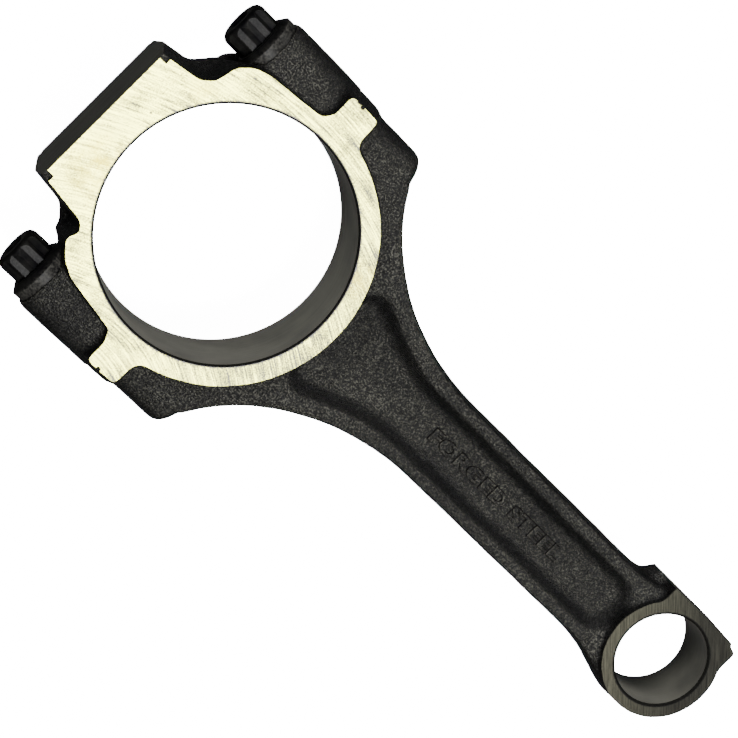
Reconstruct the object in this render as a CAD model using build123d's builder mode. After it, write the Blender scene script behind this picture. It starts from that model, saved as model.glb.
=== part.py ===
from build123d import *
from math import cos, radians, sin, tan
import os

# Connecting rod with a bolted bearing cap.  Millimetres.
# X runs along the rod from the big end to the small end, Z runs along both bores, and the origin is the
# centre of the big-end bore, half way through its width.  The cap meets the rod on the plane X = 0.

# Bores
centre_distance = 155.5
big_bore_radius = 30.0
small_bore_radius = 12.0
bore_chamfer = 0.5

# Widths along the bores
big_end_width = 23.0
small_end_width = 18.0
flange_height_big = 8.0
flange_height_small = 7.0
web_thickness = 4.4

# Walls round the bores, at the machined faces
rod_ring_wall = 5.0
small_ring_wall = 3.5
cap_crown_wall = 9.2

# Draft of the forging, from its mid-plane to each face
ring_draft = 8.0
cap_draft = 10.0
beam_draft = 5.0
small_end_draft = 5.7
pocket_draft = 31.0

# Beam: half width at the mid-plane and flange rib
beam_half_width = 11.85
beam_rib = 3.35
flange_edge_radius = 1.3
flange_stock = 2.0

# Flare from the bolt bosses down to the beam: where it starts, its slope there, and the pulls of its curve
flare_start_past_boss = 3.6
flare_start_above_bolt = 2.1
flare_length = 51.4
flare_angle = 62.0
flare_start_pull = 16.1
flare_end_pull = 24.0

# Blend from the beam up to the small-end ring, which it meets short of the ring's widest point
small_blend_length = 23.1
small_blend_angle = 16.4
small_blend_start_pull = 7.0
small_blend_end_pull = 6.5

# Pocket in each side of the beam, at its mouth
pocket_start = 33.4
pocket_corner_half_width = 16.3
pocket_taper_length = 32.6
pocket_taper_start_pull = (9.6, 0.3)
pocket_taper_end_pull = 16.0
pocket_end_lap = 0.9
pocket_corner_radius = 5.5
pocket_end_radius = 7.0
pocket_floor_radius = 1.5

# Bolts
bolt_fit_radius = 4.7
bolt_thread_radius = 4.5
bolt_waist_radius = 4.0
bolt_fit_clearance = 0.05
bolt_seat_depth = 20.4
fitted_length_in_cap = 7.0
fitted_length_in_rod = 4.0
thread_relief_length = 1.5
bolt_depth_in_rod = 17.5
bolt_tip_chamfer = 0.9
bolt_flange_radius = 8.1
bolt_flange_edge = 2.6
bolt_flange_height = 3.9
bolt_flange_neck_radius = 6.3
bolt_head_corner_radius = 5.75
bolt_head_height = 6.4
bolt_head_crown = 1.9
bolt_head_recess_radius = 2.6
bolt_head_recess_depth = 0.7
bolt_head_recess_taper = 45.0
hexagon_sides = 6

# Holes and bosses for the bolts
bore_to_bolt_wall = 1.15
tapped_hole_run_out = 1.4
drill_point_length = 1.6
bolt_hole_chamfer = 0.6
cap_boss_wall = 4.25
rod_boss_wall = 3.15
rod_boss_length = 20.0
rod_boss_dome = 4.2
rod_collar_wall = 4.0
rod_collar_length = 6.8
rod_collar_slope = 0.9
spot_face_clearance = 0.4

# Lugs beside the parting plane, at the machined faces
lug_overhang = 1.35
lug_length_in_cap = 2.6
lug_length_in_rod = 5.8
lug_corner_radius = 1.2
lug_foot_spread = 2.0
lug_foot_start = 3.0
lug_foot_height = 4.2

# Cap outline at the machined faces: the crown pad, then the shoulder beside each bolt seat, whose points
# are given as the distance beyond the seat and the distance inside the bolt axis.  The valley between them
# is wide on the left and narrow on the right
crown_half_width = 18.4
crown_spread = 1.8
crown_corner_radius = 1.0
crown_stock = 0.3
crown_length_left = 9.7
crown_length_right = 12.9
shoulder_points_left = [(6.2, 13.3), (5.1, 8.0), (2.5, 5.3), (-0.9, 4.0)]
shoulder_points_right = [(3.6, 13.7), (5.2, 10.7), (1.6, 6.9), (-1.9, 4.9)]
shoulder_root_inset = 0.8
valley_radius_left = 3.0
valley_radius_right = 1.0
shoulder_radius = 0.8

# Thin webs across the valleys, at the forging's mid-plane, from the crown to the bolt seat
valley_web_left = [(12.6, 14.3), (5.5, 6.3), (-0.4, 2.4)]
valley_web_right = [(11.0, 14.9), (1.6, 5.4)]
valley_web_root = [(12.6, 18.5), (0.4, 9.5)]
valley_web_height = 4.0
valley_web_draft = 30.0

# Bearing shell tang notches
tang_width = 4.8
tang_inset = 2.2
tang_depth = 1.0
tang_cutter_radius = 16.0

# Locating pad on one side of the small end, at the machined faces
pad_wall = 3.15
pad_stock = 1.0
pad_front = 11.4
pad_back = 13.2
pad_step_start = 10.4
pad_step_depth = 0.9
pad_root = 18.5
pad_root_slant = 4.5
pad_root_height = 3.6
pad_root_draft = 22.0


def at_mid_plane(size, height, draft):
    """A size given at a machined face, as it is at the forging's mid-plane."""
    return size + height * tan(radians(draft))


# Places that follow from the sizes above
big_half = big_end_width / 2
small_half = small_end_width / 2
web_half = web_thickness / 2
bolt_hole_radius = bolt_fit_radius + bolt_fit_clearance
tapped_hole_radius = bolt_thread_radius + bolt_fit_clearance
bolt_offset = big_bore_radius + bore_to_bolt_wall + bolt_hole_radius
cap_boss_radius = bolt_hole_radius + cap_boss_wall
rod_boss_radius = bolt_hole_radius + rod_boss_wall
rod_collar_radius = bolt_hole_radius + rod_collar_wall
rod_ring_radius = big_bore_radius + rod_ring_wall
small_ring_radius = small_bore_radius + small_ring_wall
lug_reach = bolt_offset + bolt_hole_radius + lug_overhang
cap_end = -(big_bore_radius + cap_crown_wall)
spot_face_radius = bolt_flange_radius + spot_face_clearance
pad_side = small_bore_radius + pad_wall
pad_raw_side = at_mid_plane(pad_side + pad_stock, small_half, small_end_draft)
pad_front_mid = at_mid_plane(pad_front, small_half, small_end_draft)
pad_back_mid = at_mid_plane(pad_back, small_half, small_end_draft)
tapped_hole_depth = bolt_depth_in_rod + tapped_hole_run_out
bolt_height = bolt_flange_height + bolt_head_height
tang_side = -1
sides = (1, -1)
tolerance = 0.001


def bolt_axis(side):
    """The axis of the bolt on one side, pointing from the cap into the rod."""
    return Axis((0, side * bolt_offset, 0), (1, 0, 0))


def is_bore_rim(edge):
    """True for the circular rims where the two bores meet their side faces."""
    bore_radii = (big_bore_radius, small_bore_radius)
    return any(abs(edge.radius - bore_radius) < tolerance for bore_radius in bore_radii)


def lug_sketch(length, side):
    """One lug beside the parting plane, at the mid-plane: its length is measured from that plane."""
    reach = at_mid_plane(lug_reach, big_half, ring_draft)
    end = at_mid_plane(length, big_half, ring_draft)
    with BuildSketch(Plane.XY) as lug:
        with Locations((0, side * (big_bore_radius + reach) / 2)):
            Rectangle(2 * end, reach - big_bore_radius)
        fillet(vertices(), radius=lug_corner_radius)
    return lug.sketch


def lug_foot_sketch(length, side):
    """The foot that widens a lug where it meets the ring, at the mid-plane."""
    end = at_mid_plane(length, big_half, ring_draft)
    foot = bolt_offset - lug_foot_start
    top = foot + lug_foot_height
    corners = [
        (-end - lug_foot_spread, side * foot),
        (end + lug_foot_spread, side * foot),
        (end, side * top),
        (-end, side * top),
    ]
    with BuildSketch(Plane.XY) as lug_foot:
        Polygon(*corners[::side], align=None)
    return lug_foot.sketch


def is_bolt_hole_mouth(edge):
    """True for the rims of the bolt holes in the seats of the cap."""
    on_seat = abs(edge.center().X + bolt_seat_depth) < tolerance
    return on_seat and abs(edge.radius - bolt_hole_radius) < tolerance


def beside_bolt(points, side):
    """Points given as distances beyond a bolt seat and inside the bolt's axis, on one side."""
    return [
        (-(bolt_seat_depth + beyond), side * (bolt_offset - inside)) for beyond, inside in points
    ]


def is_corner(vertex, corners):
    """True for a corner of an outline that lies at one of the given points."""
    return any(
        abs(vertex.X - corner[0]) < tolerance and abs(vertex.Y - corner[1]) < tolerance
        for corner in corners
    )


def tang_cutter(bottom):
    """The slot cutter's path for a bearing tang notch: a disc that bites the bore wall beside X = 0."""
    centre = tang_side * (big_bore_radius + tang_depth - tang_cutter_radius)
    disc = Cylinder(tang_cutter_radius, tang_width, mode=Mode.PRIVATE)
    return Pos(0, centre, bottom + tang_width / 2) * disc


os.makedirs("parts", exist_ok=True)


# Rod body: a steel forging.  Its upper half is built on the mid-plane and mirrored below it.
flare_start = Vector(rod_boss_length + flare_start_past_boss, bolt_offset + flare_start_above_bolt)
flare_run = Vector(cos(radians(flare_angle)), -sin(radians(flare_angle))) * flare_start_pull
flare_end = Vector(flare_start.X + flare_length, beam_half_width)
flare_settle = Vector(flare_end_pull, 0)
small_ring_mid = at_mid_plane(small_ring_radius, small_half, small_end_draft)
small_blend_start = Vector(centre_distance - small_blend_length, beam_half_width)
small_blend_rise = Vector(small_blend_start_pull, 0)
small_blend_end = Vector(0, small_ring_mid).rotate(Axis.Z, small_blend_angle)
small_blend_end += Vector(centre_distance, 0)
small_blend_run = Vector(small_blend_end_pull, 0).rotate(Axis.Z, small_blend_angle)
flange_slope = (flange_height_big - flange_height_small) / (
    centre_distance - small_ring_radius - flare_start.X
)

pocket_half_width = beam_half_width - beam_rib
pocket_depth = flange_height_big - web_half
pocket_corner = Vector(pocket_start, pocket_corner_half_width)
pocket_straight = Vector(pocket_corner.X + pocket_taper_length, pocket_half_width)
pocket_end = centre_distance - small_ring_radius + pocket_end_lap

# Pocket core: the shape that the die presses into each side of the beam, standing on its mouth
with BuildPart() as pocket_core:
    with BuildSketch(Plane.XY) as pocket_outline:
        with BuildLine() as pocket_edge:
            Line((pocket_end, 0), (pocket_end, pocket_half_width))
            Line((pocket_end, pocket_half_width), pocket_straight)
            Bezier(
                pocket_straight,
                pocket_straight - Vector(pocket_taper_end_pull, 0),
                pocket_corner + Vector(*pocket_taper_start_pull),
                pocket_corner,
            )
            mirror(about=Plane.XZ)
            Line(pocket_corner, (pocket_start, -pocket_corner.Y))
        make_face()
        fillet(vertices().group_by(Axis.X)[-1], radius=pocket_end_radius)
        fillet(vertices().group_by(Axis.X)[0], radius=pocket_corner_radius)
    extrude(amount=pocket_depth, taper=pocket_draft)
    fillet(faces().sort_by(Axis.Z)[-1].edges(), radius=pocket_floor_radius)
pocket_tool = Pos(0, 0, flange_height_big) * pocket_core.part.mirror(Plane.XY)

with BuildPart() as rod_body:
    # Beam and flare, down to the small-end ring
    with BuildSketch(Plane.XY) as beam_outline:
        with BuildLine() as beam_edge:
            Line((centre_distance, 0), small_blend_end)
            Bezier(
                small_blend_end,
                small_blend_end - small_blend_run,
                small_blend_start + small_blend_rise,
                small_blend_start,
            )
            Line(small_blend_start, flare_end)
            Bezier(flare_end, flare_end - flare_settle, flare_start + flare_run, flare_start)
            Line(flare_start, (0, flare_start.Y))
            Line((0, flare_start.Y), (0, 0))
            mirror(about=Plane.XZ)
        make_face()
    extrude(amount=flange_height_big + flange_stock, taper=beam_draft)
    flange_top = Plane(
        origin=(flare_start.X, 0, flange_height_big), z_dir=(flange_slope, 0, 1)
    )
    split(bisect_by=flange_top, keep=Keep.BOTTOM)
    fillet(faces().sort_by(Axis.Z)[-1].edges(), radius=flange_edge_radius)

    # Pocket that leaves the web between the two flanges
    add(pocket_tool, mode=Mode.SUBTRACT)

    # Rings round the two bores
    with BuildSketch(Plane.XY) as ring_outline:
        Circle(at_mid_plane(rod_ring_radius, big_half, ring_draft))
    extrude(amount=big_half, taper=ring_draft)
    with BuildSketch(Plane.XY) as small_ring_outline:
        with Locations((centre_distance, 0)):
            Circle(small_ring_mid)
    extrude(amount=small_half, taper=small_end_draft)

    # Locating pad on the +Y side of the small end: a low root on the beam, then the full-width pad
    with BuildSketch(Plane.XY) as pad_root_outline:
        Polygon(
            (centre_distance, pocket_half_width),
            (centre_distance, pad_raw_side),
            (centre_distance - pad_root + pad_root_slant, pad_raw_side),
            (centre_distance - pad_root, beam_half_width),
            (centre_distance - pad_root, pocket_half_width),
            align=None,
        )
    extrude(amount=pad_root_height, taper=pad_root_draft)
    with BuildSketch(Plane.XY) as pad_outline:
        Polygon(
            (centre_distance + pad_back_mid, 0),
            (centre_distance + pad_back_mid, pad_raw_side),
            (centre_distance - pad_front_mid, pad_raw_side),
            (centre_distance - pad_front_mid, 0),
            align=None,
        )
    extrude(amount=small_half, taper=small_end_draft)

    # Lugs beside the parting plane, and the round bosses that the bolts are screwed into
    for side in sides:
        extrude(lug_sketch(lug_length_in_rod, side), amount=big_half, taper=ring_draft)
        extrude(lug_foot_sketch(lug_length_in_rod, side), amount=big_half, taper=ring_draft)
        with BuildSketch(Plane.XY) as boss_profile:
            with BuildLine() as boss_edge:
                boss_foot = side * bolt_offset
                boss_top = side * (bolt_offset + rod_boss_radius)
                Line((rod_boss_length + rod_boss_dome, boss_foot), (0, boss_foot))
                collar_top = side * (bolt_offset + rod_collar_radius)
                Polyline(
                    (0, boss_foot),
                    (0, collar_top),
                    (rod_collar_length, collar_top),
                    (rod_collar_length + rod_collar_slope, boss_top),
                    (rod_boss_length, boss_top),
                )
                EllipticalCenterArc(
                    (rod_boss_length, boss_foot), rod_boss_dome, rod_boss_radius, arc_size=side * 90
                )
            make_face()
        revolve(axis=bolt_axis(side))

    # The lower half, then the machining: bores and their rims, parting face, bolt holes, tang notch
    split(bisect_by=Plane.XY, keep=Keep.TOP)
    mirror(about=Plane.XY)
    with BuildSketch(Plane.XY) as bore_circles:
        Circle(big_bore_radius)
        with Locations((centre_distance, 0)):
            Circle(small_bore_radius)
    extrude(amount=big_end_width, both=True, mode=Mode.SUBTRACT)
    chamfer(edges().filter_by(GeomType.CIRCLE).filter_by(is_bore_rim), length=bore_chamfer)
    with BuildSketch(Plane.XY) as pad_cut:
        with Locations((centre_distance, pad_side)):
            Rectangle(2 * pad_root, pad_side, align=(Align.CENTER, Align.MIN))
        with Locations((centre_distance + pad_step_start, pad_side - pad_step_depth)):
            Rectangle(pad_root, pad_side, align=(Align.MIN, Align.MIN))
    extrude(amount=small_end_width, both=True, mode=Mode.SUBTRACT)
    split(bisect_by=Plane.YZ, keep=Keep.TOP)
    for side in sides:
        with BuildSketch(Plane.XY) as bolt_hole_profile:
            with BuildLine() as bolt_hole_edge:
                Polyline(
                    (0, side * bolt_offset),
                    (0, side * (bolt_offset + bolt_hole_radius)),
                    (fitted_length_in_rod, side * (bolt_offset + bolt_hole_radius)),
                    (fitted_length_in_rod, side * (bolt_offset + tapped_hole_radius)),
                    (tapped_hole_depth, side * (bolt_offset + tapped_hole_radius)),
                    (tapped_hole_depth + drill_point_length, side * bolt_offset),
                    close=True,
                )
            make_face()
        revolve(axis=bolt_axis(side), mode=Mode.SUBTRACT)
    add(tang_cutter(tang_inset), mode=Mode.SUBTRACT)

rod_body.part.label = "rod_body"
export_step(rod_body.part, "parts/rod_body.step")


# Bearing cap: the other part of the same forging, with a flat milled crown and two bolt seats
crown_corners = [(cap_end - crown_stock, side * crown_half_width) for side in sides]
crown_root_left = (cap_end + crown_length_left, crown_half_width + crown_spread)
crown_root_right = (cap_end + crown_length_right, -crown_half_width - crown_spread)
shoulder_left = beside_bolt(shoulder_points_left, 1)
shoulder_right = beside_bolt(shoulder_points_right, -1)
shoulder_roots = [(0, -side * (rod_ring_radius - shoulder_root_inset)) for side in sides]
web_left = beside_bolt(valley_web_left, 1)
web_right = beside_bolt(valley_web_right, -1)
web_root_left = beside_bolt(valley_web_root, 1)
web_root_right = beside_bolt(reversed(valley_web_root), -1)

with BuildPart() as bearing_cap:
    # Crown and shoulders, drawn at the machined face and spread by the draft to the mid-plane
    with BuildSketch(Plane.XY) as cap_outline:
        with BuildLine() as cap_edge:
            Polyline(
                *crown_corners,
                crown_root_right,
                *shoulder_right,
                *shoulder_roots,
                *reversed(shoulder_left),
                crown_root_left,
                close=True,
            )
        make_face()
        fillet(vertices().group_by(Axis.X)[0], radius=crown_corner_radius)
        fillet(
            vertices().filter_by(lambda corner: is_corner(corner, [crown_root_left, shoulder_left[0]])),
            radius=valley_radius_left,
        )
        fillet(
            vertices().filter_by(lambda corner: is_corner(corner, [crown_root_right, shoulder_right[0]])),
            radius=valley_radius_right,
        )
        fillet(
            vertices().filter_by(lambda corner: is_corner(corner, shoulder_left[1:] + shoulder_right[1:])),
            radius=shoulder_radius,
        )
        offset(amount=big_half * tan(radians(cap_draft)), kind=Kind.INTERSECTION)
    extrude(amount=big_half, taper=cap_draft)
    with BuildSketch(Plane.XY) as valley_webs:
        Polygon(*web_root_left, *reversed(web_left), align=None)
        Polygon(*web_right, *web_root_right, align=None)
    extrude(amount=valley_web_height, taper=valley_web_draft)

    # Round bosses that the bolts pass through, lugs beside the parting plane, and the spot-faces
    for side in sides:
        extrude(lug_sketch(lug_length_in_cap, side), amount=big_half, taper=ring_draft)
        extrude(lug_foot_sketch(lug_length_in_cap, side), amount=big_half, taper=ring_draft)
        with BuildSketch(Plane.YZ.offset(-bolt_seat_depth)) as boss_circle:
            with Locations((side * bolt_offset, 0)):
                Circle(cap_boss_radius)
        extrude(amount=bolt_seat_depth)
        with BuildSketch(Plane.YZ.offset(-bolt_seat_depth)) as spot_face:
            with Locations((side * bolt_offset, 0)):
                Circle(spot_face_radius)
        extrude(amount=-bolt_height, mode=Mode.SUBTRACT)

    # The lower half, then the machining: crown face, bore and its rims, parting face, bolt holes, notch
    split(bisect_by=Plane.XY, keep=Keep.TOP)
    mirror(about=Plane.XY)
    split(bisect_by=Plane.YZ.offset(cap_end), keep=Keep.TOP)
    with BuildSketch(Plane.XY) as cap_bore_circle:
        Circle(big_bore_radius)
    extrude(amount=big_end_width, both=True, mode=Mode.SUBTRACT)
    chamfer(edges().filter_by(GeomType.CIRCLE).filter_by(is_bore_rim), length=bore_chamfer)
    split(bisect_by=Plane.YZ, keep=Keep.BOTTOM)
    for side in sides:
        with BuildSketch(Plane.YZ.offset(-bolt_seat_depth)) as cap_bolt_hole:
            with Locations((side * bolt_offset, 0)):
                Circle(bolt_hole_radius)
        extrude(amount=bolt_seat_depth, mode=Mode.SUBTRACT)
    seat_edges = edges().filter_by(GeomType.CIRCLE).filter_by(is_bolt_hole_mouth)
    chamfer(seat_edges, length=bolt_hole_chamfer)
    add(tang_cutter(-tang_inset - tang_width), mode=Mode.SUBTRACT)

bearing_cap.part.label = "bearing_cap"
export_step(bearing_cap.part, "parts/bearing_cap.step")


# Cap bolts: twelve-point flanged bolts with a waisted shank, a fitted length across the parting plane and
# a thread, shown at its outside diameter, in the rod
seat_centre = (-bolt_seat_depth, bolt_offset, 0)
head_plane = Plane(origin=seat_centre, x_dir=(0, 1, 0), z_dir=(-1, 0, 0))
profile_plane = Plane(origin=seat_centre, x_dir=(1, 0, 0), z_dir=(0, 0, 1))
fit_start = bolt_seat_depth - fitted_length_in_cap
fit_end = bolt_seat_depth + fitted_length_in_rod - bolt_tip_chamfer
thread_start = fit_end + thread_relief_length
bolt_tip = bolt_seat_depth + bolt_depth_in_rod

with BuildPart() as cap_bolt_left:
    # Twelve-point head, rounded at its crown, with a shallow dimple
    with BuildSketch(head_plane) as head_outline:
        RegularPolygon(bolt_head_corner_radius, hexagon_sides)
        RegularPolygon(bolt_head_corner_radius, hexagon_sides, rotation=180 / hexagon_sides)
    extrude(amount=bolt_height)
    with BuildSketch(profile_plane) as crown_profile:
        with BuildLine() as crown_line:
            Polyline(
                (0, 0),
                (-bolt_height, 0),
                (-bolt_height, bolt_head_corner_radius),
                (0, bolt_head_corner_radius),
                close=True,
            )
        make_face()
        fillet(vertices().sort_by(Axis.X)[:2].sort_by(Axis.Y)[-1], radius=bolt_head_crown)
    revolve(axis=bolt_axis(1), mode=Mode.INTERSECT)
    with BuildSketch(head_plane.offset(bolt_height)) as dimple:
        Circle(bolt_head_recess_radius)
    extrude(amount=-bolt_head_recess_depth, taper=bolt_head_recess_taper, mode=Mode.SUBTRACT)

    # Flange, waisted shank, fitted length and thread
    with BuildSketch(profile_plane) as shank_profile:
        with BuildLine() as shank_line:
            Polyline(
                (-bolt_flange_height, bolt_flange_neck_radius),
                (-bolt_flange_height, 0),
                (bolt_tip, 0),
                (bolt_tip, bolt_thread_radius - bolt_tip_chamfer),
                (bolt_tip - bolt_tip_chamfer, bolt_thread_radius),
                (thread_start, bolt_thread_radius),
                (thread_start, bolt_waist_radius),
                (fit_end, bolt_waist_radius),
                (fit_end, bolt_fit_radius),
                (fit_start, bolt_fit_radius),
                (fit_start, bolt_waist_radius),
                (0, bolt_waist_radius),
                (0, bolt_flange_radius),
                (-bolt_flange_edge, bolt_flange_radius),
                close=True,
            )
        make_face()
    revolve(axis=bolt_axis(1))
cap_bolt_left.part.label = "cap_bolt_left"
export_step(cap_bolt_left.part, "parts/cap_bolt_left.step")

with BuildPart() as cap_bolt_right:
    add(Pos(0, -2 * bolt_offset, 0) * cap_bolt_left.part)

cap_bolt_right.part.label = "cap_bolt_right"
export_step(cap_bolt_right.part, "parts/cap_bolt_right.step")
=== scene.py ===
from math import pi, radians

import bmesh
import bpy
from mathutils import Matrix, Vector, noise


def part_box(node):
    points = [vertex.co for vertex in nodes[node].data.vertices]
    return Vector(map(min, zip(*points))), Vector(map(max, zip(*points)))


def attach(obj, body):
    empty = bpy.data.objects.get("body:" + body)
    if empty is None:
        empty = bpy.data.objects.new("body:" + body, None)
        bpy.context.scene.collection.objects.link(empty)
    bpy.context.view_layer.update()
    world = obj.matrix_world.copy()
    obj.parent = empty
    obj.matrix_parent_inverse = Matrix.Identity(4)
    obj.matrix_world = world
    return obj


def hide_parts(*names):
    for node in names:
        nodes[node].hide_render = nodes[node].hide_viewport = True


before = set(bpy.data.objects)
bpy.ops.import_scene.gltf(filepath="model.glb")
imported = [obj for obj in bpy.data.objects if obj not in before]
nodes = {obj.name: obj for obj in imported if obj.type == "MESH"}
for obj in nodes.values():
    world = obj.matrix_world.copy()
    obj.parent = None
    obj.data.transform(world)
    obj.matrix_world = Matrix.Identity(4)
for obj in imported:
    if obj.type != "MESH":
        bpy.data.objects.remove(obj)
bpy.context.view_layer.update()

MM = 0.001


# The table, the light and the camera.
# A pale sheet lies a little below the rod, big soft lamps hang round it, and the camera looks down on its
# side face from over the cap.
TABLE_SIZE = 40.0
TABLE_DROP = 0.012
TABLE_GLOW = 14.0

lowest = min(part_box(name)[0].z for name in nodes)

table_form = bmesh.new()
bmesh.ops.create_grid(table_form, x_segments=1, y_segments=1, size=TABLE_SIZE / 2)
bmesh.ops.translate(table_form, verts=table_form.verts, vec=(0, 0, lowest - TABLE_DROP))
table_mesh = bpy.data.meshes.new("table")
table_form.to_mesh(table_mesh)
table_form.free()
table = bpy.data.objects.new("table", table_mesh)
bpy.context.scene.collection.objects.link(table)


class Shade:
    """A socket in a material's node tree: arithmetic on it, or between it and a number, adds Math nodes."""

    def __init__(self, socket):
        self.socket = socket

    def math(self, operation, first, second):
        tree = self.socket.id_data
        return add_node(tree, "ShaderNodeMath", {"operation": operation}, {0: first, 1: second})

    def __add__(self, other):
        return self.math("ADD", self, other)

    def __radd__(self, other):
        return self.math("ADD", other, self)

    def __sub__(self, other):
        return self.math("SUBTRACT", self, other)

    def __rsub__(self, other):
        return self.math("SUBTRACT", other, self)

    def __mul__(self, other):
        return self.math("MULTIPLY", self, other)

    def __rmul__(self, other):
        return self.math("MULTIPLY", other, self)

    def __pow__(self, other):
        return self.math("POWER", self, other)


def add_node(tree, kind, settings, inputs, output=0):
    """Adds a node: its settings first, then the values or links of its sockets."""
    node = tree.nodes.new(kind)
    for key, value in settings.items():
        setattr(node, key, value)
    for key, value in inputs.items():
        if isinstance(value, Shade):
            tree.links.new(value.socket, node.inputs[key])
        else:
            node.inputs[key].default_value = value
    return Shade(node.outputs[output])


class Finish:
    """A material on object coordinates, in millimetres, with one Principled surface."""

    def __init__(self, name):
        self.material = bpy.data.materials.new(name)
        self.material.use_nodes = True
        self.tree = self.material.node_tree
        self.tree.nodes.clear()
        raw = self.node("ShaderNodeTexCoord", {}, {}, "Object")
        self.place = self.node("ShaderNodeMapping", {}, {"Vector": raw, "Scale": (1 / MM,) * 3})

    def node(self, kind, settings, inputs, output=0):
        return add_node(self.tree, kind, settings, inputs, output)

    def turned(self, angle, scale):
        """The place in millimetres, turned about Z and then stretched."""
        turned = self.node("ShaderNodeMapping", {}, {"Vector": self.place, "Rotation": (0, 0, angle)})
        return self.node("ShaderNodeMapping", {}, {"Vector": turned, "Scale": scale})

    def noise(self, scale, detail=2.0, roughness=0.5, vector=None):
        inputs = {
            "Vector": vector or self.place,
            "Scale": scale,
            "Detail": detail,
            "Roughness": roughness,
        }
        return self.node("ShaderNodeTexNoise", {}, inputs, "Fac")

    def cells(self, scale):
        """The distance from the nearest of many scattered points."""
        return self.node("ShaderNodeTexVoronoi", {}, {"Vector": self.place, "Scale": scale}, "Distance")

    def between(self, value, low, high, to_low=0.0, to_high=1.0):
        """Value, spread from low..high to to_low..to_high and held there."""
        inputs = {"Value": value, 1: low, 2: high, 3: to_low, 4: to_high}
        return self.node("ShaderNodeMapRange", {"clamp": True}, inputs)

    def mix(self, factor, first, second):
        settings = {"data_type": "RGBA", "clamp_result": False}
        return self.node("ShaderNodeMix", settings, {0: factor, 6: first, 7: second}, 2)

    def vector(self, operation, first, second, output=0):
        """A Vector Math node on two values."""
        return self.node("ShaderNodeVectorMath", {"operation": operation}, {0: first, 1: second}, output)

    def away_from(self, point=(0, 0, 0)):
        """The distance in millimetres, seen along Z, from a point given in millimetres."""
        flat = self.vector("MULTIPLY", self.place, (1, 1, 0))
        return self.vector("DISTANCE", flat, point, "Value")

    def joined(self, x, y, z):
        """A vector put together from three values."""
        return self.node("ShaderNodeCombineXYZ", {}, {0: x, 1: y, 2: z})

    def parts(self):
        """The three coordinates in millimetres."""
        split = self.node("ShaderNodeSeparateXYZ", {}, {"Vector": self.place})
        return [Shade(split.socket.node.outputs[index]) for index in range(3)]

    def bump(self, height, distance, strength):
        inputs = {"Height": height, "Distance": distance, "Strength": strength}
        return self.node("ShaderNodeBump", {}, inputs)

    def surface(self, **inputs):
        named = {key.replace("_", " "): value for key, value in inputs.items()}
        shader = self.node("ShaderNodeBsdfPrincipled", {}, named)
        output = self.tree.nodes.new("ShaderNodeOutputMaterial")
        self.tree.links.new(shader.socket, output.inputs["Surface"])
        return self.material


table_finish = Finish("table_white")
table_mesh.materials.append(
    table_finish.surface(
        Base_Color=(1, 1, 1, 1), Roughness=0.9, Specular_IOR_Level=0.0,
        Emission_Color=(1, 1, 1, 1), Emission_Strength=TABLE_GLOW,
    )
)
table.visible_diffuse = False
table.visible_glossy = False

ROOM = (0.11, 0.11, 0.113, 1)
world = bpy.data.worlds.new("studio")
world.use_nodes = True
bpy.context.scene.world = world
world.node_tree.nodes["Background"].inputs["Color"].default_value = ROOM

# name, where it hangs, what it points at, width, height, power
LAMPS = [
    ("lamp_overhead", (0.36, -0.08, 0.95), (0.06, 0.0, 0.0), 0.42, 0.42, 100.0),
    ("lamp_front", (-0.75, 0.25, 0.55), (0.04, 0.0, 0.0), 0.5, 0.4, 22.0),
    ("lamp_side", (0.10, 0.85, 0.40), (0.06, 0.0, 0.0), 0.6, 0.3, 14.0),
]
for name, place, target, width, height, power in LAMPS:
    lamp = bpy.data.lights.new(name, "AREA")
    lamp.shape = "RECTANGLE"
    lamp.size = width
    lamp.size_y = height
    lamp.energy = power
    lamp_object = bpy.data.objects.new(name, lamp)
    aim = (Vector(target) - Vector(place)).to_track_quat("-Z", "Y")
    lamp_object.matrix_world = Matrix.Translation(place) @ aim.to_matrix().to_4x4()
    bpy.context.scene.collection.objects.link(lamp_object)

CAMERA_PLACE = (-0.126793, 0.031677, 0.502903)
CAMERA_RIGHT = (0.6743352, 0.7128709, 0.1925804)
CAMERA_UP = (-0.6599957, 0.6988202, -0.2757824)
CAMERA_BACK = (-0.3311763, 0.0588676, 0.9417308)
CAMERA_LENS = 110.12        # in mm, on a sensor 36 mm wide
camera_data = bpy.data.cameras.new("camera")
camera_data.sensor_width = 36.0
camera_data.lens = CAMERA_LENS
camera_data.clip_start = 0.01
camera = bpy.data.objects.new("camera", camera_data)
turn = Matrix((CAMERA_RIGHT, CAMERA_UP, CAMERA_BACK)).transposed()
camera.matrix_world = Matrix.Translation(CAMERA_PLACE) @ turn.to_4x4()
bpy.context.scene.collection.objects.link(camera)
bpy.context.scene.camera = camera


# The rod: a steel forging.
# It is struck between two dies, shot-blasted and blackened, and then machined: ground side faces, bored ends
# and bolt holes. The real one is broken off its cap, and the parting face is left flat here.
BIG_BORE = 30.0 * MM
BIG_HALF = 11.5 * MM
SMALL_BORE = 12.0 * MM
SMALL_HALF = 9.0 * MM
CENTRES = 155.5 * MM
BORE_CHAMFER = 0.5 * MM
BOLT_OFFSET = 35.9 * MM
BOLT_HOLE = 4.75 * MM
BOLT_HOLE_END = 18.9 * MM
BOLT_PLUG_END = 20.3 * MM
STOCK = 1.4 * MM            # what a forging has to spare where it will be machined
TINY = 0.002 * MM
RIM_SLACK = 0.02 * MM       # how far off a straight line a needless corner of a rim may lie
SMALL_END_START = 0.13
PAD_SIDE = 15.15 * MM
PAD_STOCK = 0.8 * MM

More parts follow.
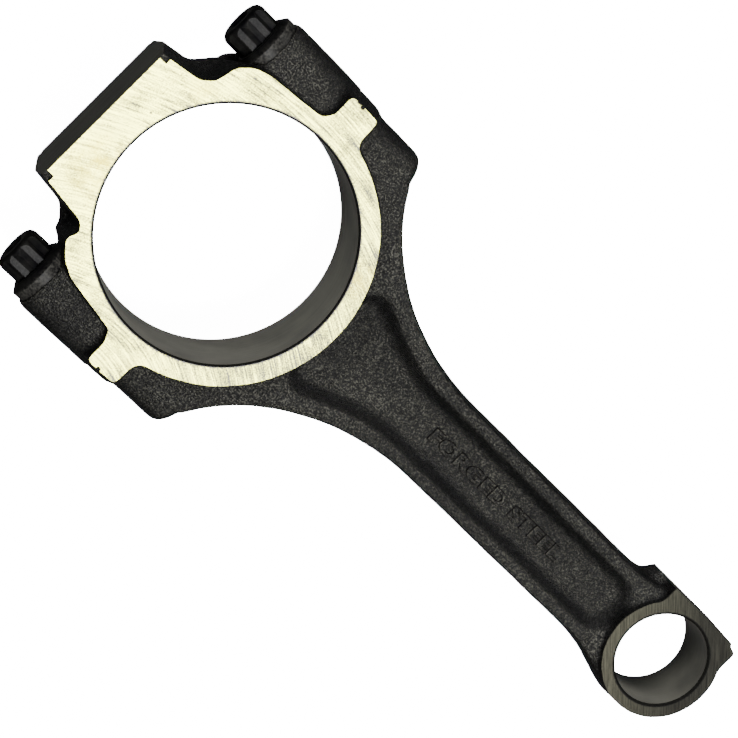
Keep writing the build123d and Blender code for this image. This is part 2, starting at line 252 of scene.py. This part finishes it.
POCKET_START, POCKET_END = 37.0 * MM, 139.0 * MM
POCKET_HALF = 8.0 * MM
POCKET_MOUTH = 6.0 * MM
POCKET_ROUNDS = 22
FLARE_END = 55.0 * MM       # from here towards the big end the pocket widens
FLARE_SPREAD = 0.35
SKIN_ROUNDS = 8
ROD_VOXEL = 0.62 * MM
SKIN_LUMPS = ((7.0, 0.10), (2.2, 0.06))     # wavelength and height of the forging's unevenness, in mm
SKIN_SINK = 0.06 * MM
CHIP_SHAPE = (1.0, 0.8, 0.55, 1)
# where the chips lie and how far each reaches, in mm
CHIPS = (
    (-2.2, 42.3, 0.55), (-0.5, 42.4, 0.8), (0.8, 41.8, 0.6), (2.2, 42.5, 0.7), (3.9, 42.3, 0.5),
    (-2.6, -43.7, 0.7), (-0.9, -42.6, 0.7), (0.7, -41.8, 0.6), (2.4, -43.3, 0.7), (3.8, -42.9, 0.4),
)


def cylinder(form, radius, start, end, axis="Z", centre=(0, 0, 0), segments=96):
    """A closed cylinder between two places on an axis through the centre."""
    turn = Matrix() if axis == "Z" else Matrix.Rotation(pi / 2, 4, "Y")
    along = Vector((0, 0, 1)) if axis == "Z" else Vector((1, 0, 0))
    place = Matrix.Translation(Vector(centre) + along * (start + end) / 2)
    bmesh.ops.create_cone(
        form, cap_ends=True, segments=segments, radius1=radius, radius2=radius,
        depth=end - start, matrix=place @ turn,
    )


def turned_cutter(form, outline, centre=(0, 0, 0), steps=144):
    """Spins an outline of (radius, height) points, both ends on the axis, into a closed cutter round Z."""
    points = [form.verts.new(Vector(centre) + Vector((radius, 0, height))) for radius, height in outline]
    lines = [form.edges.new(pair) for pair in zip(points, points[1:])]
    bmesh.ops.spin(
        form, geom=points + lines, cent=centre, axis=(0, 0, 1), dvec=(0, 0, 0), angle=2 * pi,
        steps=steps, use_merge=True, use_normal_flip=False, use_duplicate=False,
    )


def bore_cutter(form, radius, half_width, centre=(0, 0, 0)):
    """A bore with a chamfer at each side face."""
    flare = radius + BORE_CHAMFER + STOCK
    turned_cutter(form, [
        (0, -half_width - STOCK), (flare, -half_width - STOCK), (radius, -half_width + BORE_CHAMFER),
        (radius, half_width - BORE_CHAMFER), (flare, half_width + STOCK), (0, half_width + STOCK),
    ], centre)


def chipped(form):
    """Small hollows along the ends of the lugs, where the broken edge has crumbled."""
    for x, y, reach in CHIPS:
        place = Matrix.Translation((x * MM, y * MM, BIG_HALF)) @ Matrix.Diagonal(CHIP_SHAPE)
        bmesh.ops.create_icosphere(form, subdivisions=2, radius=reach * MM, matrix=place)


def object_from(form, name):
    """Turns a finished bmesh into an object in the scene."""
    mesh = bpy.data.meshes.new(name)
    form.to_mesh(mesh)
    form.free()
    made = bpy.data.objects.new(name, mesh)
    bpy.context.scene.collection.objects.link(made)
    return made


def applied(made):
    """The object's mesh with its modifiers applied, in place of its own."""
    depsgraph = bpy.context.evaluated_depsgraph_get()
    mesh = bpy.data.meshes.new_from_object(made.evaluated_get(depsgraph))
    old = made.data
    made.modifiers.clear()
    made.data = mesh
    mesh.name = made.name
    bpy.data.meshes.remove(old)
    return made


def in_pocket(place):
    """True inside the hollow of the beam, under its mouth."""
    spread = POCKET_HALF + max(0.0, FLARE_END - place.x) * FLARE_SPREAD
    return POCKET_START < place.x < POCKET_END and abs(place.y) < spread and abs(place.z) < POCKET_MOUTH


def roughed(blank, name, voxel):
    """A forging's skin: the blank remeshed in small steps, its corners run together, its surface uneven."""
    made = object_from(blank, name)
    remesh = made.modifiers.new("skin", "REMESH")
    remesh.mode = "VOXEL"
    remesh.voxel_size = voxel
    applied(made)
    form = bmesh.new()
    form.from_mesh(made.data)
    for _ in range(SKIN_ROUNDS):
        bmesh.ops.smooth_vert(
            form, verts=form.verts, factor=0.5, use_axis_x=True, use_axis_y=True, use_axis_z=True
        )
    hollow = [vert for vert in form.verts if in_pocket(vert.co)]
    for _ in range(POCKET_ROUNDS if hollow else 0):
        bmesh.ops.smooth_vert(
            form, verts=hollow, factor=0.5, use_axis_x=True, use_axis_y=True, use_axis_z=True
        )
    form.normal_update()
    moves = []
    for vert in form.verts:
        place = vert.co / MM
        lift = -SKIN_SINK
        for wavelength, height in SKIN_LUMPS:
            lift += noise.noise(place / wavelength) * height * MM
        moves.append(vert.normal * lift)
    for vert, move in zip(form.verts, moves):
        vert.co += move
    return made, form


def milled(form, place, normal, region=None):
    """Cuts the form flat on a plane and closes it there."""
    faces = [face for face in form.faces if region is None or region(face.calc_center_median())]
    # a dict keeps each item once and in order, so that every run cuts the same way
    geometry = dict.fromkeys(item for face in faces for item in (*face.verts, *face.edges, face))
    cut = bmesh.ops.bisect_plane(
        form, geom=list(geometry), dist=TINY / 100, plane_co=place, plane_no=normal, clear_outer=True
    )
    edges = [item for item in cut["geom_cut"] if isinstance(item, bmesh.types.BMEdge)]
    bmesh.ops.edgeloop_fill(form, edges=[edge for edge in edges if edge.is_boundary])


def straightened(made):
    """Takes out the needless corners that a cut leaves along its rims, which would close as slivers."""
    form = bmesh.new()
    form.from_mesh(made.data)
    needless = []
    for vert in form.verts:
        if len(vert.link_edges) == 2:
            start, end = (edge.other_vert(vert).co for edge in vert.link_edges)
            run = (end - start).normalized()
            off_line = (vert.co - start).cross(run).length
            if off_line < RIM_SLACK:
                needless.append(vert)
    bmesh.ops.dissolve_verts(form, verts=needless)
    form.to_mesh(made.data)
    form.free()


def bored(made, cutter_form):
    """Cuts a closed form out of the object."""
    cutter = object_from(cutter_form, "cutter")
    cut = made.modifiers.new("cut", "BOOLEAN")
    cut.operation = "DIFFERENCE"
    cut.solver = "EXACT"
    cut.object = cutter
    applied(made)
    bpy.data.objects.remove(cutter)
    straightened(made)


def at_small_end(place):
    return place.x > SMALL_END_START


rod_blank = bmesh.new()
rod_blank.from_mesh(nodes["rod_body"].data)
bmesh.ops.remove_doubles(rod_blank, verts=rod_blank.verts, dist=TINY)
for vert in rod_blank.verts:
    if abs(vert.co.z) > BIG_HALF - TINY:
        vert.co.z += STOCK if vert.co.z > 0 else -STOCK
    elif at_small_end(vert.co) and abs(vert.co.z) > SMALL_HALF - TINY:
        vert.co.z += STOCK if vert.co.z > 0 else -STOCK
    if abs(vert.co.x) < TINY:
        vert.co.x -= STOCK
    if at_small_end(vert.co) and abs(vert.co.y - PAD_SIDE) < TINY:
        vert.co.y += PAD_STOCK
plug_half = BIG_HALF + STOCK
cylinder(rod_blank, BIG_BORE + STOCK, -plug_half, plug_half)
cylinder(rod_blank, SMALL_BORE + STOCK, -SMALL_HALF - STOCK, SMALL_HALF + STOCK, centre=(CENTRES, 0, 0))
for side in (1, -1):
    cylinder(rod_blank, BOLT_HOLE + STOCK, -STOCK, BOLT_PLUG_END, "X", (0, side * BOLT_OFFSET, 0))

rod, rod_form = roughed(rod_blank, "forged_rod", ROD_VOXEL)
for sign in (1, -1):
    milled(rod_form, (0, 0, sign * BIG_HALF), (0, 0, sign))
    milled(rod_form, (0, 0, sign * SMALL_HALF), (0, 0, sign), at_small_end)
milled(rod_form, (0, 0, 0), (-1, 0, 0))
milled(rod_form, (0, PAD_SIDE, 0), (0, 1, 0), at_small_end)
rod_form.to_mesh(rod.data)
rod_form.free()

rod_cutter = bmesh.new()
bore_cutter(rod_cutter, BIG_BORE, BIG_HALF)
bore_cutter(rod_cutter, SMALL_BORE, SMALL_HALF, (CENTRES, 0, 0))
for side in (1, -1):
    cylinder(rod_cutter, BOLT_HOLE, -STOCK, BOLT_HOLE_END, "X", (0, side * BOLT_OFFSET, 0))
chipped(rod_cutter)
bmesh.ops.recalc_face_normals(rod_cutter, faces=rod_cutter.faces)
bored(rod, rod_cutter)
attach(rod, "root")
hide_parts("rod_body")


# The cap: the other half of the big end, broken off the same forging.
# It is bored and ground together with the rod, its crown is milled flat, and two bolts hold it on.
CAP_END = -39.2 * MM
SEAT = -20.4 * MM
SEAT_CUTTER = 8.5 * MM
SEAT_CUT_DEPTH = 12.0 * MM
SEAT_PLUG = 8.3 * MM
CAP_VOXEL = 0.55 * MM
CROWN_HALF = 19.3 * MM
NOTCHES = ((1, 1.7 * MM), (-1, 2.1 * MM))       # which end of the crown, and how far along it
NOTCH_SIZE = (2.2 * MM, 1.0 * MM)               # along the rod, and down from the side face
NOTCH_PLACE = (-38.4 * MM, 11.3 * MM)

cap_blank = bmesh.new()
cap_blank.from_mesh(nodes["bearing_cap"].data)
bmesh.ops.remove_doubles(cap_blank, verts=cap_blank.verts, dist=TINY)
for vert in cap_blank.verts:
    if abs(vert.co.z) > BIG_HALF - TINY:
        vert.co.z += STOCK if vert.co.z > 0 else -STOCK
    if abs(vert.co.x) < TINY:
        vert.co.x += STOCK
    elif vert.co.x < CAP_END + TINY:
        vert.co.x -= STOCK
cylinder(cap_blank, BIG_BORE + STOCK, -plug_half, plug_half)
for side in (1, -1):
    cylinder(cap_blank, SEAT_PLUG, SEAT - STOCK, STOCK, "X", (0, side * BOLT_OFFSET, 0))

cap, cap_form = roughed(cap_blank, "forged_cap", CAP_VOXEL)
for sign in (1, -1):
    milled(cap_form, (0, 0, sign * BIG_HALF), (0, 0, sign))
milled(cap_form, (0, 0, 0), (1, 0, 0))
milled(cap_form, (CAP_END, 0, 0), (-1, 0, 0))
cap_form.to_mesh(cap.data)
cap_form.free()

cap_cutter = bmesh.new()
bore_cutter(cap_cutter, BIG_BORE, BIG_HALF)
for end, width in NOTCHES:
    for face in (1, -1):
        middle = (NOTCH_PLACE[0], end * (CROWN_HALF - width / 2), face * NOTCH_PLACE[1])
        notch = Matrix.Translation(middle) @ Matrix.Diagonal((NOTCH_SIZE[0], width, NOTCH_SIZE[1], 1))
        bmesh.ops.create_cube(cap_cutter, size=1.0, matrix=notch)
chipped(cap_cutter)
for side in (1, -1):
    cylinder(cap_cutter, SEAT_CUTTER, SEAT - SEAT_CUT_DEPTH, SEAT, "X", (0, side * BOLT_OFFSET, 0))
bmesh.ops.recalc_face_normals(cap_cutter, faces=cap_cutter.faces)
bored(cap, cap_cutter)
cap_holes = bmesh.new()
for side in (1, -1):
    cylinder(cap_holes, BOLT_HOLE, SEAT - STOCK, STOCK, "X", (0, side * BOLT_OFFSET, 0))
bmesh.ops.recalc_face_normals(cap_holes, faces=cap_holes.faces)
bored(cap, cap_holes)
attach(cap, "root")
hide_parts("bearing_cap")

SKIN_BLACK, SKIN_DARK = (0.0003, 0.0003, 0.0003, 1), (0.0013, 0.0013, 0.0010, 1)
# the light specks are partly the grain's own and partly painted sparkle, highlights of the bumps put into
# the colour
SKIN_SPECK_AND_SPARKLE, SKIN_WORN = (0.0170, 0.0168, 0.0138, 1), (0.022, 0.021, 0.017, 1)

forging = Finish("forging_skin")
grain = forging.noise(2.5, 3.0, 0.55)
lumps = forging.noise(0.45, 3.0, 0.6)
patches = forging.noise(0.06, 3.0, 0.55)
facing = forging.node("ShaderNodeTexCoord", {}, {}, "Normal")
facing = forging.node("ShaderNodeSeparateXYZ", {}, {"Vector": facing}, "Z")
facing = forging.node("ShaderNodeMath", {"operation": "ABSOLUTE"}, {0: facing})
# painted shade: faces turned away from Z, the walls and slopes, are darkened to as little as a fifth
painted_wall_shade = forging.between(facing, 0.62, 0.97, 0.20, 1.0)
# random patches of tone, multiplied by the painted shade on the walls
patches_and_painted_shade = painted_wall_shade * forging.between(patches, 0.36, 0.66, 0.45, 1.3)
edge = forging.node("ShaderNodeNewGeometry", {}, {}, "Pointiness")
worn = forging.between(edge, 0.515, 0.60) * forging.between(grain, 0.42, 0.62)
# the grain's mottle and specks are scaled by the patches and the painted wall shade
mottle = forging.mix(forging.between(grain, 0.41, 0.53) * patches_and_painted_shade, SKIN_BLACK, SKIN_DARK)
# grain specks on the grain's peaks, partly painted sparkle highlights
specks_and_painted_sparkle = forging.mix(forging.between(grain, 0.52, 0.64) * patches_and_painted_shade, mottle, SKIN_SPECK_AND_SPARKLE)
skin_colour = forging.mix(worn * 0.7, specks_and_painted_sparkle, SKIN_WORN)
skin = forging.surface(
    Base_Color=skin_colour,
    Roughness=forging.between(grain, 0.35, 0.68, 0.50, 0.32),
    Specular_IOR_Level=0.06,
    Normal=forging.bump(grain + lumps * 0.8, 0.6 * MM, 1.0),
)

GRIND_CENTRE = (-3.0, -66.0, 0.0)        # middle of the grinding wheel's sweep, in mm
GRIND_ACROSS, GRIND_ALONG = 2.1, 0.09    # how fine the lines are across and along themselves
# where each stain lies, how far it reaches, both in mm, and how strong it is
STAINS = (
    ((-31.5, -9.0), 9.0, 1.0), ((28.5, 13.5), 5.5, 0.8),
    ((-27.0, 19.0), 4.5, 0.6), ((6.0, -37.0), 4.0, 0.4),
)
# where each pit lies and how far it reaches, in mm
PITS = ((-21.0, 29.3, 0.42), (-32.1, 7.7, 0.4), (3.4, 40.9, 0.35), (-33.2, 12.6, 0.25), (12.0, -31.5, 0.3))
RIM_SHADE_BAND = (31.15, 30.85)                # painted shade: the dark line round the bore, in mm from its axis
GROUND_DARK, GROUND_BRIGHT = (0.020, 0.0195, 0.005, 1), (1.0, 0.99, 0.19, 1)
GROUND_GREY, GROUND_OIL = (0.055, 0.053, 0.03, 1), (0.40, 0.33, 0.0, 1)
GROUND_PIT, GROUND_RIM_SHADE = (0.02, 0.018, 0.012, 1), (0.002, 0.002, 0.0017, 1)

ground = Finish("ground_face")
ground_x, _, _ = ground.parts()
sweep = ground.away_from(GRIND_CENTRE)
sweep_place = ground.joined(sweep * GRIND_ACROSS, ground_x * GRIND_ALONG, 0.0)
ground_lines = ground.noise(1.0, 3.0, 0.65, sweep_place)
coarse_lines = ground.noise(0.36, 1.0, 0.5, sweep_place)
smudge = ground.noise(0.16, 4.0, 0.6)
speck = ground.noise(2.6, 2.0, 0.6)
line_tone = ground_lines * 0.55 + coarse_lines * 0.1 + speck * 0.35 + smudge * 0.35
# painted shade: the tone drops steadily towards +x, so the face is darker on that side
line_tone = line_tone - ground_x * 0.0011 - 0.175
bright = ground.mix(ground.between(line_tone, 0.37, 0.60) ** 1.5, GROUND_DARK, GROUND_BRIGHT)
grey_part = ground.between(smudge, 0.52, 0.74) * ground.between(speck, 0.35, 0.7) * 0.6
greyed = ground.mix(grey_part, bright, GROUND_GREY)
stain = 0.0
for (x, y), reach, strength in STAINS:
    near = ground.between(ground.away_from((x, y, 0.0)), reach, 0.2 * reach)
    stain = near * strength + stain
ragged = ground.between(ground.noise(0.35, 4.0, 0.65), 0.36, 0.66)
stain = ground.between(stain * ragged, 0.0, 1.0)
oiled = ground.mix(stain * 0.9, greyed, GROUND_OIL)
pit = 0.0
for x, y, reach in PITS:
    near = ground.between(ground.away_from((x, y, 0.0)), reach, 0.4 * reach)
    pit = near + pit
few_specks = ground.between(ground.cells(0.42), 0.075, 0.04)
pitted = ground.mix(ground.between(pit + few_specks * 0.6, 0.0, 1.0), oiled, GROUND_PIT)
# painted shade: a dark band on the face just outside the bore's chamfer
rim_shade_part = ground.between(ground.away_from() + speck * 0.5, *RIM_SHADE_BAND)
ground_colour = ground.mix(rim_shade_part, pitted, GROUND_RIM_SHADE)
ground_face = ground.surface(
    Base_Color=ground_colour,
    Specular_IOR_Level=0.2,
    Roughness=ground.between(ground_lines, 0.3, 0.7, 0.45, 0.6),
    Normal=ground.bump(line_tone - pit * 0.8, 0.05 * MM, 0.7),
)

BORE_DARK, BORE_LIGHT = (0.033, 0.0322, 0.0275, 1), (0.054, 0.053, 0.044, 1)

bore = Finish("bored_wall")
bore_x, bore_y, bore_z = bore.parts()
bore_rings = bore.noise(1.0, 2.0, 0.5, bore.joined(bore_z * 6.0, bore_x * 0.05, bore_y * 0.05))
bore_tone = bore.noise(0.12, 3.0)
bore_colour = bore.mix(bore.between(bore_tone + 0.25 * bore_rings, 0.4, 0.9), BORE_DARK, BORE_LIGHT)
bore_wall = bore.surface(
    Base_Color=bore_colour, Roughness=bore.between(bore_rings, 0.3, 0.7, 0.44, 0.56),
    Normal=bore.bump(bore_rings, 0.012 * MM, 0.5),
    Specular_IOR_Level=0.3,
)

# painted shade: a near-black finish put on the bore chamfers and the letters' sloping sides, where shade
# falls
painted_shade_finish = Finish("painted_shade_black")
painted_shade_colour = painted_shade_finish.mix(painted_shade_finish.noise(1.5, 3.0), (0.0002, 0.0002, 0.0002, 1), (0.0022, 0.0021, 0.0018, 1))
painted_shade_black = painted_shade_finish.surface(Base_Color=painted_shade_colour, Roughness=0.6, Specular_IOR_Level=0.01)

DULL_LINES = radians(43)                 # the way the cutter's lines run
SMALL_RIM_SHADE_BAND = (13.1, 12.85)           # painted shade: the dark line round the small bore, in mm from its axis
# painted light and shade: the lit and shaded tones of the small-end face, each with its cutter lines
PAINTED_SHADE_DARK, PAINTED_SHADE_LIGHT = (0.0008, 0.0008, 0.0006, 1), (0.0068, 0.0066, 0.0052, 1)
PAINTED_LIT_DARK, PAINTED_LIT_LIGHT = (0.0035, 0.0034, 0.0024, 1), (0.0190, 0.0186, 0.0132, 1)
DULL_GREY, DULL_RIM_SHADE = (0.0030, 0.0029, 0.0025, 1), (0.0008, 0.0008, 0.0007, 1)

dull = Finish("small_end_face")
dull_x, dull_y, _ = dull.parts()
dull_lines = dull.noise(1.0, 3.0, 0.65, dull.turned(DULL_LINES, (0.12, 3.2, 1.0)))
dull_speck = dull.noise(2.4, 3.0, 0.65)
dull_line_part = dull.between(dull_lines, 0.34, 0.66)
dull_painted_shade = dull.mix(dull_line_part, PAINTED_SHADE_DARK, PAINTED_SHADE_LIGHT)
dull_painted_lit = dull.mix(dull_line_part, PAINTED_LIT_DARK, PAINTED_LIT_LIGHT)
# painted light: the face is lighter towards lower x and y, near the beam, and darker towards the rod's end
dull_tone = dull.mix(dull.between(dull_x + dull_y * 0.5, 141.0, 164.0), dull_painted_lit, dull_painted_shade)
dull_greyed = dull.mix(dull.between(dull_speck, 0.58, 0.75) * 0.6, dull_tone, DULL_GREY)
from_small_bore = dull.away_from((CENTRES / MM, 0, 0))
# painted shade: a dark band on the face just outside the small bore's chamfer
small_rim_shade_part = dull.between(from_small_bore + dull_speck * 0.5, *SMALL_RIM_SHADE_BAND)
dull_colour = dull.mix(small_rim_shade_part, dull_greyed, DULL_RIM_SHADE)
dull_face = dull.surface(
    Base_Color=dull_colour, Roughness=dull.between(dull_lines, 0.3, 0.7, 0.40, 0.58),
    Specular_IOR_Level=0.006,
    Normal=dull.bump(dull_lines, 0.05 * MM, 0.8),
)

MILLED_DARK, MILLED_LIGHT = (0.008, 0.0078, 0.0068, 1), (0.019, 0.0184, 0.016, 1)

milled_steel = Finish("milled_face")
milled_x, milled_y, milled_z = milled_steel.parts()
milled_place = milled_steel.joined(milled_y * 0.1, milled_z * 2.2, milled_x)
milled_lines = milled_steel.noise(1.0, 3.0, 0.6, milled_place)
milled_colour = milled_steel.mix(milled_steel.between(milled_lines, 0.35, 0.65), MILLED_DARK, MILLED_LIGHT)
milled_face = milled_steel.surface(
    Base_Color=milled_colour, Roughness=milled_steel.between(milled_lines, 0.3, 0.7, 0.42, 0.55),
    Normal=milled_steel.bump(milled_lines, 0.03 * MM, 0.7),
    Specular_IOR_Level=0.05,
)


SHARP_ANGLE = radians(30)
FLAT = 0.999                             # how square to an axis a machined face is


def finish_forging(made):
    """Gives the machined parts of a forging their own finishes, by where they lie."""
    mesh = made.data
    mesh.materials.clear()
    for material in (skin, ground_face, bore_wall, dull_face, painted_shade_black, milled_face):
        mesh.materials.append(material)
    for face in mesh.polygons:
        centre, normal = face.center, face.normal
        radius = Vector((centre.x, centre.y)).length
        small_radius = Vector((centre.x - CENTRES, centre.y)).length
        finish = skin
        if abs(normal.z) > FLAT and abs(abs(centre.z) - BIG_HALF) < TINY:
            finish = ground_face
        elif abs(normal.z) > FLAT and abs(abs(centre.z) - SMALL_HALF) < TINY and at_small_end(centre):
            finish = dull_face
        elif radius < BIG_BORE + TINY or small_radius < SMALL_BORE + TINY:
            finish = bore_wall
        # the bore chamfers get the near-black painted shade
        elif radius < BIG_BORE + BORE_CHAMFER or small_radius < SMALL_BORE + BORE_CHAMFER:
            finish = painted_shade_black
        elif centre.x < CAP_END + TINY or abs(centre.x) < TINY or abs(centre.x - SEAT) < TINY:
            finish = milled_face
        elif abs(normal.y) > FLAT and at_small_end(centre) and abs(centre.y - PAD_SIDE) < TINY:
            finish = milled_face
        face.material_index = mesh.materials.find(finish.name)
        face.use_smooth = True
    mesh.set_sharp_from_angle(angle=SHARP_ANGLE)


finish_forging(rod)
finish_forging(cap)


# The cap bolts: twelve-point flanged bolts of alloy steel.
# They are cold-headed, threaded and blackened, and are screwed through the cap into the rod's bosses.
BOLT_BLACK, BOLT_DARK = (0.0006, 0.0006, 0.0007, 1), (0.0020, 0.0020, 0.0018, 1)
BOLT_WORN = (0.018, 0.0175, 0.0155, 1)

bolt = Finish("black_oxide")
bolt_grain = bolt.noise(1.8, 4.0, 0.6)
bolt_tone = bolt.noise(0.35, 3.0)
bolt_edge = bolt.node("ShaderNodeNewGeometry", {}, {}, "Pointiness")
bolt_dark = bolt.mix(bolt.between(bolt_tone, 0.35, 0.65), BOLT_BLACK, BOLT_DARK)
bolt_worn = bolt.between(bolt_edge, 0.52, 0.62) * bolt.between(bolt_grain, 0.4, 0.6) * 0.7
bolt_colour = bolt.mix(bolt_worn, bolt_dark, BOLT_WORN)
bolt_steel = bolt.surface(
    Base_Color=bolt_colour, Roughness=bolt.between(bolt_grain, 0.3, 0.7, 0.30, 0.46),
    Normal=bolt.bump(bolt_grain, 0.05 * MM, 0.6),
    Specular_IOR_Level=0.014,
)
for name in ("cap_bolt_left", "cap_bolt_right"):
    node = nodes[name]
    node.data.materials.clear()
    node.data.materials.append(bolt_steel)


# The forging mark: raised letters on the floor of the beam's pocket.
# They are cut into the die, so they stand on the web as part of the forging, with rounded corners.
MARK_TEXT = "FORGED STEEL"
MARK_START, MARK_END = 72.0 * MM, 119.0 * MM
MARK_TALL = 4.0 * MM
MARK_FLOOR = 2.15 * MM
MARK_PROUD = 0.1 * MM
MARK_ROUND = 0.48 * MM
MARK_THIN = -0.08 * MM
FONT_SIZE = 1.36 * MARK_TALL             # a capital letter is less tall than its font
LETTER_SPACE = 1.12
MARK_TOP = 0.8                           # faces turned up more than this are its top; the others get the near-black painted shade

letters = bpy.data.curves.new("forging_mark_letters", "FONT")
letters.body = MARK_TEXT
letters.extrude = MARK_PROUD / 2
letters.bevel_depth = MARK_ROUND
letters.bevel_resolution = 3
letters.offset = MARK_THIN
letters.size = FONT_SIZE
letters.space_character = LETTER_SPACE
letters.resolution_u = 6
letters_object = bpy.data.objects.new("forging_mark_letters", letters)
bpy.context.scene.collection.objects.link(letters_object)
letters_mesh = bpy.data.meshes.new_from_object(letters_object)
bpy.data.objects.remove(letters_object)
mark_form = bmesh.new()
mark_form.from_mesh(letters_mesh)
bmesh.ops.remove_doubles(mark_form, verts=mark_form.verts, dist=TINY)
low = Vector(min(vert.co[axis] for vert in mark_form.verts) for axis in range(3))
high = Vector(max(vert.co[axis] for vert in mark_form.verts) for axis in range(3))
stretch = ((MARK_END - MARK_START) / (high.x - low.x), MARK_TALL / (high.y - low.y), 1.0)
bmesh.ops.translate(mark_form, verts=mark_form.verts, vec=-(low + high) / 2)
bmesh.ops.scale(mark_form, verts=mark_form.verts, vec=stretch)
bmesh.ops.translate(mark_form, verts=mark_form.verts, vec=((MARK_START + MARK_END) / 2, 0, MARK_FLOOR))
mark = object_from(mark_form, "forging_mark")
mark.data.materials.append(skin)
mark.data.materials.append(painted_shade_black)
# painted shadow: the letters' sloping sides get the near-black painted shade, a dark outline round each
# stroke
for face in mark.data.polygons:
    face.material_index = 0 if face.normal.z > MARK_TOP else 1
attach(mark, "root")

bpy.context.view_layer.update()
